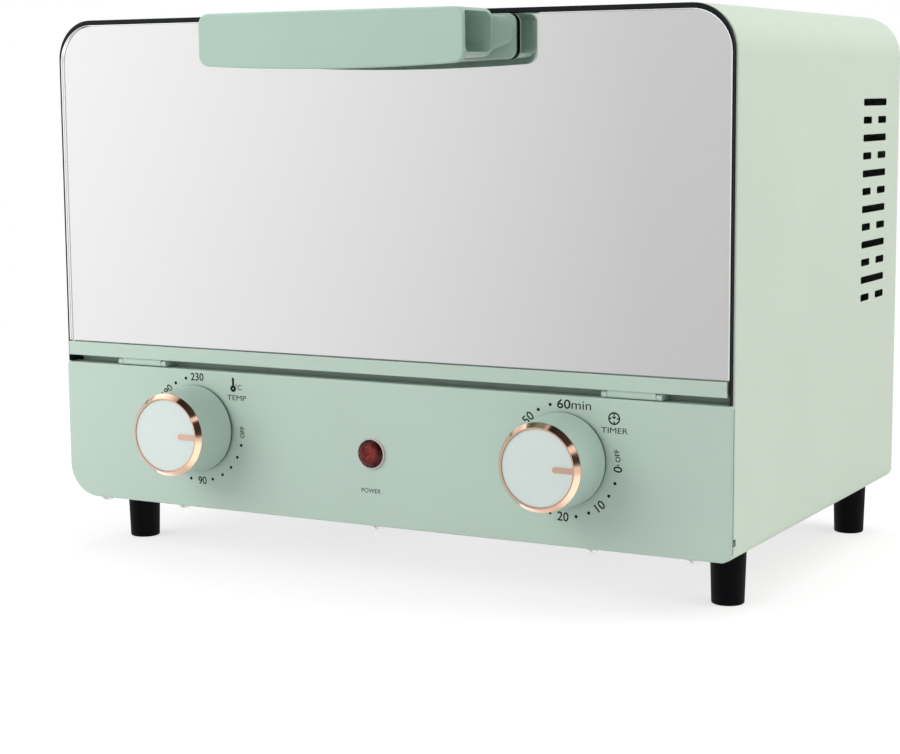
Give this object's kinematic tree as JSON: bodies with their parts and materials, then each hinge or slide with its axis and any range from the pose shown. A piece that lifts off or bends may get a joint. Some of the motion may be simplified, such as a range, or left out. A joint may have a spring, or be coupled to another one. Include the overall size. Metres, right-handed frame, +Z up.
{
  "type": "toaster oven",
  "caption": "Small counter-top toaster oven with a mirrored drop-down glass door, moulded grip, temperature and timer knobs, indicator lamp, vented sides and feet.",
  "frame": {"origin": "on the floor, under the middle of the oven's overall box", "axes": "+X to the right seen from the front, +Y from the door to the back, +Z up"},
  "size_m": [0.35, 0.2604, 0.2589],
  "materials": {
    "mint_steel": "satin powder coat",
    "dark_steel": "satin black enamel",
    "plain_steel": "aluminised sheet",
    "bright_steel": "zinc plated",
    "chrome_wire": "polished",
    "tray_enamel": "dark non-stick enamel",
    "heater_steel": "oxidised sheath",
    "ceramic": "glazed ceramic",
    "clear_glass": "clear float glass",
    "mirror_glass": "silvered backing",
    "mint_plastic": "semi-gloss moulding",
    "pale_plastic": "gloss",
    "rose_gold": "rose-gold plated",
    "red_lens": "clear dark red",
    "red_bezel": "gloss",
    "inner_plastic": "moulded",
    "black_rubber": "satin",
    "black_plastic": "moulded"
  },
  "bodies": {
    "oven": {"outer_shell": "mint_steel", "control_panel": "mint_steel", "front_frame": "dark_steel", "base_plate": "plain_steel", "rear_panel": "plain_steel", "cavity_liner": "plain_steel", "cavity_back": "plain_steel", "heat_shield": "plain_steel", "liner_brackets": "plain_steel", "rack_rail_left": "plain_steel", "rack_rail_right": "plain_steel", "hinge_bracket_left": "plain_steel", "hinge_bracket_right": "plain_steel", "hinge_pin_left": "bright_steel", "hinge_pin_right": "bright_steel", "foot_screws": "bright_steel", "base_screws": "bright_steel", "rear_screws": "bright_steel", "thermostat_nut": "bright_steel", "timer_nut": "bright_steel", "timer_bell": "bright_steel", "upper_heater_front": "heater_steel", "upper_heater_rear": "heater_steel", "lower_heater_front": "heater_steel", "lower_heater_rear": "heater_steel", "heater_insulators": "ceramic", "indicator_lens": "red_lens", "indicator_bezel": "red_bezel", "thermostat_body": "inner_plastic", "timer_body": "inner_plastic", "indicator_lamp": "inner_plastic", "terminal_block": "inner_plastic", "foot_front_left": "black_rubber", "foot_front_right": "black_rubber", "foot_rear_left": "black_rubber", "foot_rear_right": "black_rubber", "cord_gland": "black_plastic"},
    "door": {"door_glass": "clear_glass", "door_mirror": "mirror_glass", "door_rail": "mint_steel", "handle_grip": "mint_plastic", "handle_mount": "mint_plastic", "handle_screws": "bright_steel", "handle_washers": "bright_steel"},
    "rack": {"wire_rack": "chrome_wire", "bake_tray": "tray_enamel"},
    "temperature_dial": {"temperature_knob": "mint_plastic", "temperature_knob_ring": "rose_gold", "temperature_knob_face": "pale_plastic", "thermostat_shaft": "bright_steel"},
    "timer_dial": {"timer_knob": "mint_plastic", "timer_knob_ring": "rose_gold", "timer_knob_face": "pale_plastic", "timer_shaft": "bright_steel"}
  },
  "joints": [
    {"name": "door_hinge", "type": "hinge", "parent": "oven", "child": "door", "pos_m": [0, -0.0953, 0.0949], "axis": [1, 0, 0], "range_deg": [0, 90]},
    {"name": "rack_slide", "type": "slide", "parent": "oven", "child": "rack", "axis": [0, -1, 0], "range_m": [0, 0.0711]},
    {"name": "temperature_turn", "type": "hinge", "parent": "oven", "child": "temperature_dial", "pos_m": [-0.097, -0.0968, 0.0652], "axis": [0, 1, 0], "range_deg": [0, 270]},
    {"name": "timer_turn", "type": "hinge", "parent": "oven", "child": "timer_dial", "pos_m": [0.097, -0.0968, 0.0652], "axis": [0, 1, 0], "range_deg": [0, 270]}
  ],
  "couplings": [
    {"joint": "rack_slide", "follows": "door_hinge", "m_per_rad": 0.045}
  ]
}
